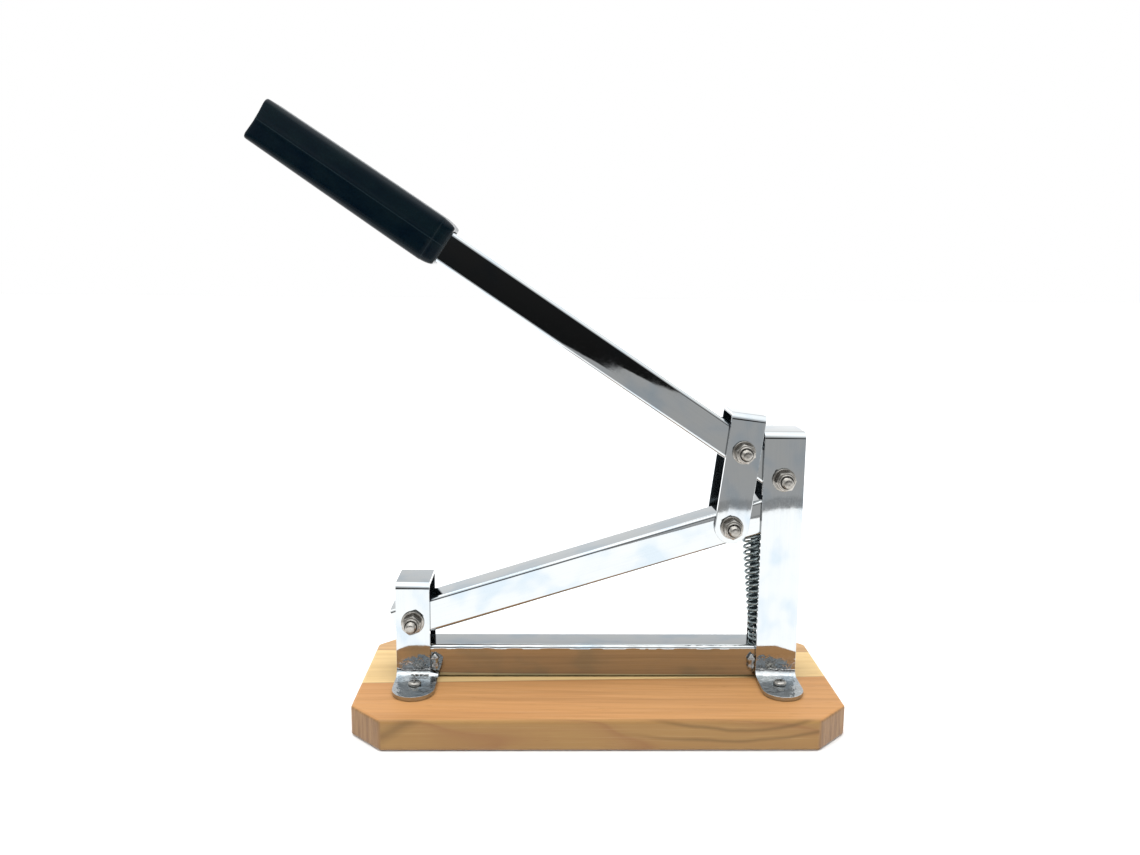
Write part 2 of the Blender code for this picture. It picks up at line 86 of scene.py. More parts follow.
OPEN_PIVOT = middle("link_lower_washer_front")
OPEN_PIVOT.y = ARM_HINGE.y
ARM_RISE = math.atan2(OPEN_PIVOT.z - ARM_HINGE.z, OPEN_PIVOT.x - ARM_HINGE.x)
LEVER_RISE = math.atan2(LINK_HINGE.z - LEVER_HINGE.z, LEVER_HINGE.x - LINK_HINGE.x)
LINK_LEAN = math.atan2(LINK_HINGE.x - OPEN_PIVOT.x, LINK_HINGE.z - OPEN_PIVOT.z)
BOARD_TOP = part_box("base_board")[1].z
BEAM_EDGE = (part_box("lower_beam")[0].y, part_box("lower_beam")[1].z)


# ---------------------------------------------------------------- camera

CAMERA_AT = Vector((-0.0352, -0.6955, 0.3278))
CAMERA_HEADING = math.radians(1.15)
CAMERA_DIP = math.radians(9.48)
CAMERA_ROLL = math.radians(0.50)
CAMERA_LENS = 30.46


def make_camera():
    lens = bpy.data.cameras.new("camera")
    lens.lens = CAMERA_LENS
    lens.sensor_fit = "HORIZONTAL"
    lens.sensor_width = 36
    lens.clip_start = 0.01
    lens.clip_end = 50
    camera = bpy.data.objects.new("camera", lens)
    bpy.context.scene.collection.objects.link(camera)
    ahead = Vector((math.sin(CAMERA_HEADING) * math.cos(CAMERA_DIP),
                    math.cos(CAMERA_HEADING) * math.cos(CAMERA_DIP), -math.sin(CAMERA_DIP)))
    side = ahead.cross(Vector((0, 0, 1))).normalized()
    up = side.cross(ahead)
    right = side * math.cos(CAMERA_ROLL) + up * math.sin(CAMERA_ROLL)
    top = up * math.cos(CAMERA_ROLL) - side * math.sin(CAMERA_ROLL)
    turn = Matrix((right, top, -ahead)).transposed().to_4x4()
    camera.matrix_world = Matrix.Translation(CAMERA_AT) @ turn
    bpy.context.scene.camera = camera


# ---------------------------------------------------------------- material graphs

def set_stops(ramp, stops):
    """Fills a colour ramp's band; a stop is (position, grey or colour)."""
    elements = ramp.color_ramp.elements
    while len(elements) < len(stops):
        elements.new(0.5)
    for element, (position, value) in zip(elements, stops):
        colour = value if isinstance(value, tuple) else (value, value, value)
        element.position = position
        element.color = (*colour, 1)


class Graph:
    """A material and short ways to add nodes to it."""

    def __init__(self, name, metallic=0.0):
        self.material = bpy.data.materials.new(name)
        self.material.use_nodes = True
        self.tree = self.material.node_tree
        self.shader = self.tree.nodes["Principled BSDF"]
        self.shader.inputs["Metallic"].default_value = metallic
        self.place = self.tree.nodes.new("ShaderNodeTexCoord").outputs["Object"]

    def feed(self, socket, value):
        if isinstance(value, bpy.types.NodeSocket):
            self.tree.links.new(value, socket)
        else:
            socket.default_value = value

    def node(self, kind, *values, **settings):
        node = self.tree.nodes.new(kind)
        for key, value in settings.items():
            setattr(node, key, value)
        for socket, value in zip(node.inputs, values):
            if value is not None:
                self.feed(socket, value)
        return node

    def parts(self):
        """The place's X, Y and Z."""
        return self.node("ShaderNodeSeparateXYZ", self.place).outputs

    def math(self, operation, *values):
        return self.node("ShaderNodeMath", *values, operation=operation).outputs[0]

    def add(self, first, second):
        return self.math("ADD", first, second)

    def less(self, first, second):
        return self.math("SUBTRACT", first, second)

    def times(self, first, second):
        return self.math("MULTIPLY", first, second)

    def apart(self, first, second):
        """The distance between two values."""
        return self.math("ABSOLUTE", self.less(first, second))

    def reach(self, across, upward):
        """The distance from a long line, from the offsets across it and above it."""
        squares = [self.math("POWER", offset, 2.0) for offset in (across, upward)]
        return self.math("SQRT", self.add(*squares))

    def turned(self, vector, angle):
        """The place turned about Y, so that its X runs along a piece that rises by angle."""
        return self.node("ShaderNodeMapping", vector, None, (0, angle, 0)).outputs[0]

    def stretched(self, vector, scale, shift=(0, 0, 0)):
        return self.node("ShaderNodeMapping", vector, shift, None, scale).outputs[0]

    def noise(self, vector, scale=1.0, detail=2.0, roughness=0.5, distortion=0.0):
        node = self.node("ShaderNodeTexNoise", vector)
        node.inputs["Scale"].default_value = scale
        node.inputs["Detail"].default_value = detail
        node.inputs["Roughness"].default_value = roughness
        node.inputs["Distortion"].default_value = distortion
        return node.outputs[0]

    def ramp(self, factor, *stops):
        node = self.node("ShaderNodeValToRGB", factor)
        set_stops(node, stops)
        return node.outputs[0]

    def range(self, value, low, high, to_low, to_high):
        return self.node("ShaderNodeMapRange", value, low, high, to_low, to_high).outputs[0]

    def mix(self, factor, first, second):
        node = self.tree.nodes.new("ShaderNodeMix")
        node.data_type = "RGBA"
        for index, value in ((0, factor), (6, first), (7, second)):
            if isinstance(value, tuple):
                value = (*value, 1)
            self.feed(node.inputs[index], value)
        return node.outputs[2]

    def bump(self, height, strength, distance, under=None):
        node = self.tree.nodes.new("ShaderNodeBump")
        node.inputs["Strength"].default_value = strength
        node.inputs["Distance"].default_value = distance
        self.feed(node.inputs["Height"], height)
        if under is not None:
            self.feed(node.inputs["Normal"], under)
        return node.outputs[0]

    def finish(self, colour, roughness, normal=None, **fixed):
        self.feed(self.shader.inputs["Base Color"], colour)
        self.feed(self.shader.inputs["Roughness"], roughness)
        if normal is not None:
            self.feed(self.shader.inputs["Normal"], normal)
        for name, value in fixed.items():
            self.shader.inputs[name.replace("_", " ")].default_value = value
        return self.material


# Height up to which the posts' plating is dimpled and hazy
WORN_BELOW = BOARD_TOP + 17 * MM
# Outer radius of a folded strip's bends, and half the gap between its legs with a little to spare
BENDS = 1.6 * MM
INSIDE_HALF = 16.4 * MM
# Painted shade for the inside of a folded strip
PAINTED_INSIDE_SHADE = (0.085, 0.10, 0.11)


def plated(name, angle, seed, wave=None, inside=None, worn=None):
    """Bright plating: soft bluish clouds, fine drawing lines along the piece, small scuffs.

    angle is the piece's rise along X, and seed shifts its figure. wave is the (y, z) of a long
    edge that is slightly uneven. worn is the height below which the finish is dimpled and hazy.
    inside is (point, direction) of a folded strip: its faces between the legs, and below the point
    along the direction, are rougher and painted darker as shade.
    """
    g = Graph(name, metallic=1.0)
    x, y, z = g.parts()
    place = g.stretched(g.turned(g.place, angle), (1, 1, 1), (seed, seed, seed))
    cloud = g.noise(g.stretched(place, (32, 46, 46)), detail=2, roughness=0.5, distortion=0.2)
    fine = g.noise(place, scale=420, detail=3, roughness=0.6)
    lines = g.noise(g.stretched(place, (9, 900, 900)), detail=3, roughness=0.7)
    slow = g.noise(g.stretched(place, (20, 34, 34)), detail=2, roughness=0.5)

    colour = g.ramp(cloud, (0.34, (0.345, 0.390, 0.425)), (0.48, (0.405, 0.425, 0.437)),
                    (0.60, (0.418, 0.432, 0.434)))
    colour = g.mix(g.range(lines, 0.4, 0.75, 0.0, 0.12), colour, (0.30, 0.325, 0.335))
    roughness = g.add(g.range(cloud, 0.3, 0.7, 0.045, 0.02), g.range(fine, 0.4, 0.8, 0.0, 0.03))
    normal = g.bump(slow, 0.12, 0.5 * MM)
    if wave:
        edge_y, edge_z = wave
        ripple = g.noise(g.stretched(place, (110, 60, 60)), detail=1, roughness=0.4)
        reach = g.reach(g.less(y, edge_y), g.less(z, edge_z))
        swell = g.times(g.less(ripple, 0.5), g.range(reach, 0.8 * MM, 3 * MM, 1.0, 0.0))
        normal = g.bump(swell, 0.7, 1.3 * MM, normal)
    normal = g.bump(lines, 0.05, 0.03 * MM, normal)
    normal = g.bump(fine, 0.06, 0.03 * MM, normal)
    if worn:
        haze = g.range(z, worn - 5 * MM, worn + 3 * MM, 1.0, 0.0)
        dents = g.noise(place, scale=170, detail=2, roughness=0.55)
        roughness = g.add(roughness, g.times(haze, g.range(dents, 0.35, 0.65, 0.06, 0.17)))
        normal = g.bump(g.times(g.less(dents, 0.5), haze), 0.8, 0.9 * MM, normal)
    if inside:
        point, direction = inside
        between = g.math("LESS_THAN", g.apart(y, point.y), INSIDE_HALF)
        along = g.add(g.times(x, direction.x), g.times(z, direction.z))
        dull_and_shaded = g.times(between, g.math("LESS_THAN", along, point.dot(direction)))
        # Painted shade: the inside of the fold is darkened, and also made rougher
        colour = g.mix(dull_and_shaded, colour, PAINTED_INSIDE_SHADE)
        roughness = g.add(roughness, g.times(dull_and_shaded, 0.22))
    return g.finish(colour, roughness, normal)


def turned_steel():
    """Warm grey stainless, tool lines round the axis and a little grime in random patches."""
    g = Graph("fastener_steel", metallic=1.0)
    fine = g.noise(g.place, scale=900, detail=3, roughness=0.6)
    rings = g.noise(g.stretched(g.place, (60, 60, 2600)), detail=2)
    patches = g.noise(g.place, scale=260, detail=3)
    colour = g.ramp(patches, (0.35, (0.215, 0.205, 0.185)), (0.55, (0.305, 0.292, 0.270)),
                    (0.75, (0.365, 0.352, 0.332)))
    roughness = g.range(fine, 0.3, 0.7, 0.22, 0.40)
    normal = g.bump(rings, 0.25, 0.03 * MM)
    normal = g.bump(fine, 0.25, 0.03 * MM, normal)
    return g.finish(colour, roughness, normal)


def dark_nylon():
    g = Graph("dark_nylon")
    fine = g.noise(g.place, scale=1400, detail=2)
    colour = g.ramp(fine, (0.3, (0.035, 0.033, 0.03)), (0.7, (0.06, 0.057, 0.052)))
    return g.finish(colour, g.range(fine, 0.3, 0.7, 0.42, 0.58), g.bump(fine, 0.2, 0.04 * MM))


def weld_metal():
    g = Graph("weld_steel", metallic=1.0)
    spots = g.noise(g.place, scale=520, detail=4, roughness=0.6)
    colour = g.ramp(spots, (0.35, (0.22, 0.22, 0.21)), (0.6, (0.42, 0.42, 0.415)))
    return g.finish(colour, g.range(spots, 0.3, 0.7, 0.38, 0.22), g.bump(spots, 0.35, 0.15 * MM))


def spring_wire():
    g = Graph("spring_steel", metallic=1.0)
    spots = g.noise(g.place, scale=700, detail=4, roughness=0.6)
    colour = g.ramp(spots, (0.35, (0.11, 0.14, 0.145)), (0.65, (0.33, 0.385, 0.395)))
    return g.finish(colour, g.range(spots, 0.3, 0.7, 0.22, 0.36), g.bump(spots, 0.2, 0.05 * MM))


# Distance of the step behind the grip's mouth from the lever's hinge
GRIP_LIP = 304.8 * MM


def grip_rubber():
    """Near-black moulded rubber, fine-grained, slightly polished by hands in soft patches."""
    g = Graph("black_grip")
    grain = g.noise(g.place, scale=1500, detail=3, roughness=0.6)
    patches = g.noise(g.stretched(g.place, (30, 60, 60)), detail=3, roughness=0.6)
    colour = g.ramp(patches, (0.35, (0.0004, 0.0042, 0.0090)), (0.65, (0.0014, 0.0076, 0.0108)))
    x, _, z = g.parts()
    # Painted highlights: thin lighter lines along the parting seam and on the step behind the mouth
    seam = g.range(g.apart(z, 0.0), 0.15 * MM, 0.45 * MM, 1.0, 0.0)
    lip = g.range(g.apart(x, -GRIP_LIP), 0.1 * MM, 0.5 * MM, 1.0, 0.0)
    colour = g.mix(g.math("MAXIMUM", seam, g.times(lip, 0.6)), colour, (0.010, 0.019, 0.024))
    roughness = g.add(g.range(patches, 0.3, 0.7, 0.16, 0.26), g.range(grain, 0.3, 0.7, 0.0, 0.05))
    normal = g.bump(grain, 0.08, 0.04 * MM)
    normal = g.bump(patches, 0.10, 0.4 * MM, normal)
    return g.finish(colour, roughness, normal, Specular_IOR_Level=0.12)


# Where each glue line crosses the board's middle, and how far it drifts along X
GLUE_LINES = ((-13.0 * MM, 0.034), (42 * MM, -0.01))
# The tree's heart, for the front, the pale and the rear strip: its Y, its drift along X, its Z
PITH_Y = (-0.128, 0.085, -0.060)
PITH_DRIFT = (0.055, 0.03, -0.05)
PITH_Z = (0.004, -0.03, 0.05)
RING_SPACING = 7.5 * MM
# How strongly the rings show on each strip
RING_WEIGHTS = (0.16, 0.16, 0.22)
# Just behind the board's front face
FRONT_FACE = -79.5 * MM
# Distance out, |x| + |y|, of the board's clipped corners
BOARD_CORNER = 231 * MM
# Rings met by the front face: lowest point (x, z), then how fast each curls up to its left and right
FACE_RINGS = ((107 * MM, 15.6 * MM, 1.5, 4.6), (91 * MM, 8.2 * MM, 0.9, 1.5))
# A darker slanting band on the front face: where it meets the top, and its slope
FACE_BAND = (-129 * MM, 0.54)
TOP_STREAK = -46 * MM


def drawn_figure(g, colour, front, cloud):
    """The curved rings and the slanting band on the front face, and the dark streak on the top."""
    x, y, z = g.parts()
    wave = g.noise(g.stretched(g.place, (24, 30, 30)), detail=2)
    wobble = g.times(g.less(wave, 0.5), 6 * MM)
    for low_x, low_z, left_curl, right_curl in FACE_RINGS:
        aside = g.less(x, low_x)
        curl = g.range(aside, -1 * MM, 1 * MM, left_curl, right_curl)
        rise = g.add(g.times(g.times(aside, aside), curl), low_z)
        line = g.range(g.apart(g.add(z, wobble), rise), 0.1 * MM, 2.1 * MM, 0.60, 0.0)
        line = g.times(line, g.range(x, 5 * MM, 60 * MM, 0.0, 1.0))
        colour = g.mix(g.times(line, front), colour, (0.150, 0.080, 0.027))
    meets_top, slope = FACE_BAND
    slant = g.times(g.less(x, meets_top), slope)
    above = g.add(g.less(g.less(z, BOARD_TOP), slant), wobble)
    band = g.range(g.apart(above, 0.0), 1.0 * MM, 7.0 * MM, 0.62, 0.0)
    colour = g.mix(g.times(band, front), colour, (0.165, 0.092, 0.030))
    aside = g.add(g.less(y, TOP_STREAK), g.times(wobble, 0.7))
    streak = g.range(g.apart(aside, 0.0), 0.4 * MM, 3.2 * MM, 0.34, 0.0)
    streak = g.times(streak, g.range(cloud, 0.35, 0.65, 0.3, 1.0))
    return g.mix(streak, colour, (0.27, 0.125, 0.040))


def board_wood():
    """Three glued strips, each cut from its own place in a tree, with rings, fibres and pores."""
    g = Graph("oiled_wood")
    x, y, z = g.parts()
    past = [g.less(g.less(y, line), g.times(x, drift)) for line, drift in GLUE_LINES]
    light, back = [g.math("GREATER_THAN", distance, 0.0) for distance in past]

    def pick(front_value, light_value, back_value):
        value = g.add(front_value, g.times(light, light_value - front_value))
        return g.add(value, g.times(back, back_value - light_value))

    def pick_colour(front_colour, light_colour, back_colour):
        return g.mix(back, g.mix(light, front_colour, light_colour), back_colour)

    sway = g.noise(g.stretched(g.place, (5.5, 9, 9)), detail=2, roughness=0.5)
    heave = g.noise(g.stretched(g.place, (6.5, 11, 11), (3.1, 0.7, 5.3)), detail=2, roughness=0.5)
    across = g.add(g.less(y, pick(*PITH_Y)), g.times(x, pick(*PITH_DRIFT)))
    across = g.add(across, g.times(g.less(sway, 0.5), 0.022))
    upward = g.add(g.less(z, pick(*PITH_Z)), g.times(g.less(heave, 0.5), 0.030))
    ring = g.math("FRACT", g.math("DIVIDE", g.reach(across, upward), RING_SPACING))
    late = g.ramp(ring, (0.0, 0.3), (0.16, 0.0), (0.55, 0.05), (0.80, 0.45), (0.93, 1.0), (1.0, 0.3))

    fibre = g.noise(g.stretched(g.place, (14, 620, 620)), detail=4, roughness=0.65)
    streak = g.noise(g.stretched(g.place, (3.5, 95, 95)), detail=3, roughness=0.6)
    pores = g.noise(g.stretched(g.place, (70, 1700, 1700)), detail=2, roughness=0.5)
    cloud = g.noise(g.stretched(g.place, (4, 14, 14)), detail=3, roughness=0.55)
    end_grain = g.noise(g.stretched(g.place, (420, 420, 30)), detail=3, roughness=0.6)

    face = g.range(y, FRONT_FACE, FRONT_FACE + 3.5 * MM, 1.0, 0.0)
    out = g.add(g.apart(x, 0.0), g.apart(y, 0.0))
    corner = g.range(out, BOARD_CORNER - 1.4 * MM, BOARD_CORNER - 0.4 * MM, 0.0, 1.0)
    # Mask of the board's lowest 2 mm, where a contact shadow is painted
    under = g.range(z, 0.3 * MM, 2.2 * MM, 1.0, 0.0)
    pore = g.range(pores, 0.68, 0.76, 0.0, 0.40)
    rings = g.times(late, g.add(pick(*RING_WEIGHTS), g.times(face, 0.55)))

    colour = pick_colour(g.mix(cloud, (0.445, 0.205, 0.070), (0.535, 0.282, 0.108)),
                         g.mix(cloud, (0.65, 0.445, 0.195), (0.73, 0.53, 0.265)),
                         g.mix(cloud, (0.47, 0.28, 0.125), (0.58, 0.36, 0.18)))
    dark = pick_colour((0.27, 0.125, 0.045), (0.52, 0.33, 0.14), (0.31, 0.165, 0.06))
    corner_colour = g.ramp(end_grain, (0.35, (0.190, 0.098, 0.038)), (0.65, (0.300, 0.165, 0.068)))
    # Painted shade: the front face's colour pulled darker, standing for the shade it gets under overhead
    # light
    colour = g.mix(g.times(face, 0.85), colour, (0.322, 0.183, 0.056))
    colour = g.mix(rings, colour, dark)
    colour = g.mix(g.range(streak, 0.48, 0.75, 0.0, 0.50), colour, dark)
    colour = g.mix(g.range(fibre, 0.5, 0.8, 0.0, 0.22), colour, dark)
    colour = g.mix(g.range(fibre, 0.2, 0.45, 0.12, 0.0), colour, (0.80, 0.56, 0.32))
    colour = g.mix(pore, colour, (0.15, 0.07, 0.025))
    colour = g.mix(corner, colour, corner_colour)
    # Painted contact shadow: the board's bottom edge darkened
    colour = g.mix(g.times(under, 0.6), colour, (0.13, 0.07, 0.028))
    for distance in past:
        glue = g.range(g.apart(distance, 0.0), 0.1 * MM, 0.9 * MM, 0.55, 0.0)
        colour = g.mix(glue, colour, (0.20, 0.10, 0.04))
    colour = drawn_figure(g, colour, g.times(face, g.less(1.0, corner)), cloud)

    roughness = g.add(g.range(fibre, 0.3, 0.7, 0.42, 0.56), g.times(pore, 0.3))
    normal = g.bump(fibre, 0.22, 0.10 * MM)
    normal = g.bump(g.less(1.0, pore), 0.35, 0.08 * MM, normal)
    normal = g.bump(late, 0.10, 0.12 * MM, normal)
    return g.finish(colour, roughness, normal, Specular_IOR_Level=0.2)


# ---------------------------------------------------------------- carried-over CAD nodes

SAME_POINT = 0.005 * MM


def dress(node, material, edge=0.0):
    """A CAD node keeps its shape and gets its finish, with its sharp edges eased."""
    item = NODES[node]
    item.data.materials.clear()
    item.data.materials.append(material)
    item.data.shade_smooth()
    if edge:
        weld = item.modifiers.new("Weld", "WELD")
        weld.merge_threshold = SAME_POINT
        bevel = item.modifiers.new("Eased edges", "BEVEL")
        bevel.width = edge
        bevel.segments = 2
        bevel.limit_method = "ANGLE"
        bevel.angle_limit = math.radians(40)
        bevel.use_clamp_overlap = True
        weighted = item.modifiers.new("Weighted normals", "WEIGHTED_NORMAL")
        weighted.weight = 60


# ---------------------------------------------------------------- meshes for pieces

def show(name, mesh, material, at=None):
    item = bpy.data.objects.new(name, mesh)
    bpy.context.scene.collection.objects.link(item)
    item.data.materials.append(material)
    item.matrix_world = at or Matrix.Identity(4)
    return item


def stand_in(piece, node, body):
    """The piece takes a CAD node's place on its body."""
    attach(piece, body)
    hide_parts(node)


def grid_mesh(name, rings, looped=False):
    """A skin over rings of points, each ring closed on itself; its ends are capped unless looped."""
    work = bmesh.new()
    rows = [[work.verts.new(point) for point in ring] for ring in rings]
    pairs = list(zip(rows, rows[1:]))
    if looped:
        pairs.append((rows[-1], rows[0]))
    for row, following in pairs:
        for i in range(len(row)):
            work.faces.new((row[i - 1], row[i], following[i], following[i - 1]))
    if not looped:
        work.faces.new(rows[0])
        work.faces.new(rows[-1][::-1])
    bmesh.ops.recalc_face_normals(work, faces=work.faces)
    for face in work.faces:
        face.smooth = True
    mesh = bpy.data.meshes.new(name)
    work.to_mesh(mesh)
    work.free()
    return mesh


HEX_HALF = 6.5 * MM
THREAD_PITCH = 1.25 * MM
THREAD_DEPTH = 0.62 * MM
# Leeway when a height is compared with the end of a hexagon
SLACK = 0.0001 * MM


def hex_reach(a):
    """How far a hexagon's side is from its middle in direction a."""
    sector = (a % (math.pi / 3)) - math.pi / 6
    return HEX_HALF / math.cos(sector)


def lathe(name, profile, steps, hexed=None, threads=None, looped=False):
    """A turned piece along Z: hexed and threads are the (low, high) of a hexagon and of a thread."""
    rings = []
    for radius, height in profile:
        ring = []
        for step in range(steps):
            a = 2 * math.pi * step / steps
            reach = radius
            if hexed and hexed[0] - SLACK <= height <= hexed[1] + SLACK:
                reach = min(reach, hex_reach(a))
            if threads and threads[0] <= height <= threads[1]:
                phase = (height / THREAD_PITCH - step / steps) % 1.0
                reach -= THREAD_DEPTH * (1 - abs(2 * phase - 1)) ** 0.8
            ring.append((reach * math.cos(a), reach * math.sin(a), height))
        rings.append(ring)
    mesh = grid_mesh(name, rings, looped)
    mesh.set_sharp_from_angle(angle=math.radians(42))
    return mesh


def arc(centre, radius, start, end, steps):
    """Points of an arc in the (radius, height) plane, angles in degrees."""
    points = []
    for step in range(steps + 1):
        a = math.radians(start + (end - start) * step / steps)
        points.append((centre[0] + radius * math.cos(a), centre[1] + radius * math.sin(a)))
    return points


def chamfered(radius, flat_radius, low, high, steps=6):
    """Points of a cone, (radius, height), from the flat face out to the hexagon's corners."""
    return [(flat_radius + (radius - flat_radius) * step / steps,
             low + (high - low) * step / steps) for step in range(steps + 1)]


FACING_FRONT = Matrix.Rotation(math.pi / 2, 4, "X")


def along_y(node, turn=0.0):
    """Stands a piece made along Z at a node's axis, its Z towards the front and its zero on the axis."""
    place = middle(node)
    place.y = ARM_HINGE.y
    return Matrix.Translation(place) @ FACING_FRONT @ Matrix.Rotation(turn, 4, "Z")


CORNER_RADIUS = 7.45 * MM
SHANK = 3.9 * MM
BORE = 4.3 * MM
# Inner radius of a lock nut's rolled lip, and how deep its nylon ring reaches from the nut's end
LIP_RADIUS = 4.72 * MM
NYLON_DEPTH = 2.2 * MM
# The part of a nut's length that is hexagonal
HEX_SHARE = 0.74
BODY_OF = {"arm_hinge": "root", "lever_hinge": "root", "link_upper": "link", "link_lower": "link"}


def make_nut(hinge, turn, steel, nylon):
    """A lock nut: a chamfered hexagon, then a round collar rolled in over its nylon ring."""
    node = hinge + "_nut"
    low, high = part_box(node)
    start = ARM_HINGE.y - high.y
    end = ARM_HINGE.y - low.y
    hex_end = start + (end - start) * HEX_SHARE
    profile = [(BORE, start), (5.9 * MM, start)]
    profile += chamfered(CORNER_RADIUS, 6.2 * MM, start, start + 0.55 * MM)
    profile += chamfered(CORNER_RADIUS, 6.15 * MM, hex_end, hex_end - 0.65 * MM)[::-1]
    profile += arc((5.95 * MM, hex_end + 0.15 * MM), 0.15 * MM, 270, 180, 2)
    profile += arc((4.95 * MM, end - 0.85 * MM), 0.85 * MM, 0, 90, 5)
    profile += arc((4.95 * MM, end - 0.2 * MM), 0.2 * MM, 90, 200, 4)
    profile += [(LIP_RADIUS, end - 0.55 * MM), (4.05 * MM, end - 0.65 * MM), (3.98 * MM, end - 0.9 * MM),
                (3.98 * MM, end - 2.0 * MM), (BORE, end - 2.1 * MM)]
    mesh = lathe(node, profile, steps=96, hexed=(start, hex_end), looped=True)
    nut = show(node + "_detailed", mesh, steel, along_y(node, turn))
    mesh.materials.append(nylon)
    for face in mesh.polygons:
        if face.center.z > end - NYLON_DEPTH and face.center.xy.length < LIP_RADIUS:
            face.material_index = 1
    stand_in(nut, node, BODY_OF[hinge])


def make_bolt(hinge, turn, steel):
    """A hexagon bolt from the rear, its head seated as far back as the nut is forward."""
    node = hinge + "_bolt"
    low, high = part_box(node)
    tip = ARM_HINGE.y - low.y
    back = ARM_HINGE.y - high.y
    nut_low, nut_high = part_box(hinge + "_nut")
    nut_end = ARM_HINGE.y - nut_low.y
    seat = nut_high.y - ARM_HINGE.y
    profile = chamfered(CORNER_RADIUS, 6.0 * MM, back, back + 0.7 * MM)
    profile += chamfered(CORNER_RADIUS, 6.3 * MM, seat, seat - 0.3 * MM, 3)[::-1]
    profile += arc((SHANK + 0.35 * MM, seat + 0.35 * MM), 0.35 * MM, 270, 180, 4)
    thread_start = nut_end - NYLON_DEPTH
    thread_end = tip - 0.95 * MM
    profile.append((SHANK, thread_start - 0.3 * MM))
    height = thread_start
    while height < thread_end:
        profile.append((SHANK, height))
        height += THREAD_PITCH / 8
    profile += [(SHANK, thread_end), (SHANK - 0.75 * MM, tip - 0.12 * MM),
                (SHANK - 0.95 * MM, tip), (0.9 * MM, tip - 0.05 * MM)]
    mesh = lathe(node, profile, steps=64, hexed=(back, seat), threads=(thread_start, tip - 0.9 * MM))
    bolt = show(node + "_detailed", mesh, steel, along_y(node, turn))
    stand_in(bolt, node, BODY_OF[hinge])


def make_washer(hinge, where, steel):
    """A stamped washer: one edge rounded over, the other crisp."""
    node = f"{hinge}_washer_{where}"
    low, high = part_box(node)
    radius = (high.x - low.x) / 2
    start = ARM_HINGE.y - high.y
    end = ARM_HINGE.y - low.y
    soft = 0.4 * MM
    profile = [(BORE, start), (radius - 0.12 * MM, start), (radius, start + 0.12 * MM)]
    profile += arc((radius - soft, end - soft), soft, 0, 90, 5)
    profile += arc((BORE + 0.25 * MM, end - 0.25 * MM), 0.25 * MM, 90, 180, 3)
    mesh = lathe(node, profile, steps=80, looped=True)
    washer = show(node + "_detailed", mesh, steel, along_y(node))
    stand_in(washer, node, BODY_OF[hinge])


def cut(item, cutter):
    """Takes the cutter's shape out of an item for good."""
    tool = item.modifiers.new("Cut", "BOOLEAN")
    tool.object = cutter
    tool.operation = "DIFFERENCE"
    tool.solver = "EXACT"
    graph = bpy.context.evaluated_depsgraph_get()
    mesh = bpy.data.meshes.new_from_object(item.evaluated_get(graph))
    item.modifiers.clear()
    item.data = mesh
    bpy.data.objects.remove(cutter)


SCREW_HEAD = 2.8 * MM
SCREW_SHANK = 2.0 * MM
SCREW_POINT = 0.2 * MM
# The cross recess, from its floor to above the head: height from the top, reach, half width
CROSS_LEVELS = ((-1.9 * MM, 1.2 * MM, 0.42 * MM), (1.0 * MM, 2.9 * MM, 0.75 * MM))
DOME_STEPS = 9


def make_foot_screw(node, turn, steel):
    """A pan-head wood screw with a tapered cross recess."""
    low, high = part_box(node)
    radius = (high.x - low.x) / 2
    top = high.z
    seat = top - SCREW_HEAD
    rim = seat + 0.9 * MM
    profile = [(SCREW_POINT, low.z), (SCREW_SHANK, low.z + 3 * MM), (SCREW_SHANK, seat),
               (radius - 0.1 * MM, seat), (radius, seat + 0.15 * MM), (radius, rim)]
    for step in range(1, DOME_STEPS):
        a = math.pi / 2 * step / DOME_STEPS
        profile.append((radius * math.cos(a) ** 0.8, rim + (top - rim) * math.sin(a)))
    profile.append((SCREW_POINT, top))
    x, y = middle(node).xy
    mesh = lathe(node, profile, steps=64)
    place = Matrix.Translation((x, y, 0)) @ Matrix.Rotation(turn, 4, "Z")
    screw = show(node + "_detailed", mesh, steel, place)
    rings = []
    for height, reach, width in CROSS_LEVELS:
        ring = []
        for quarter in range(4):
            spin = Matrix.Rotation(math.pi / 2 * quarter, 2)
            for px, py in ((width, width), (0.8 * width, reach), (-0.8 * width, reach)):
                spot = spin @ Vector((px, py))
                ring.append((spot.x, spot.y, top + height))
        rings.append(ring)
    cross = bpy.data.objects.new("cross", grid_mesh("cross", rings))
    bpy.context.scene.collection.objects.link(cross)
    cross.matrix_world = place
    bpy.context.view_layer.update()
    cut(screw, cross)
    screw.data.shade_smooth()
    screw.data.set_sharp_from_angle(angle=math.radians(35))
    stand_in(screw, node, "root")


def make_weld(node, seed, metal):
    """A short lumpy bead, laid in two overlapping puddles."""
    low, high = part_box(node)
    centre = (low + high) / 2
    half = (high - low) / 2
    work = bmesh.new()
    bmesh.ops.create_icosphere(work, subdivisions=5, radius=1)
    for vertex in work.verts:
        spot = vertex.co.copy()
        lump = noise.noise(spot * 1.6 + Vector((seed, 0, 0)))
        swell = 0.90 - 0.20 * math.cos(spot.z * 5.5 + 0.2 * seed) + 0.10 * lump
        vertex.co = Vector((spot.x * half.x * swell, spot.y * half.y * swell, spot.z * half.z))
    for face in work.faces:
        face.smooth = True
    mesh = bpy.data.meshes.new(node)
    work.to_mesh(mesh)
    work.free()
    bead = show(node + "_detailed", mesh, metal, Matrix.Translation(centre))
    stand_in(bead, node, "root")


# ---------------------------------------------------------------- spring

SPRING_WIRE = 1.8 * MM
SPRING_TURNS = 18
SPRING_STEPS = 40
WIRE_SIDES = 12
CLOSED_TURNS = 1.1


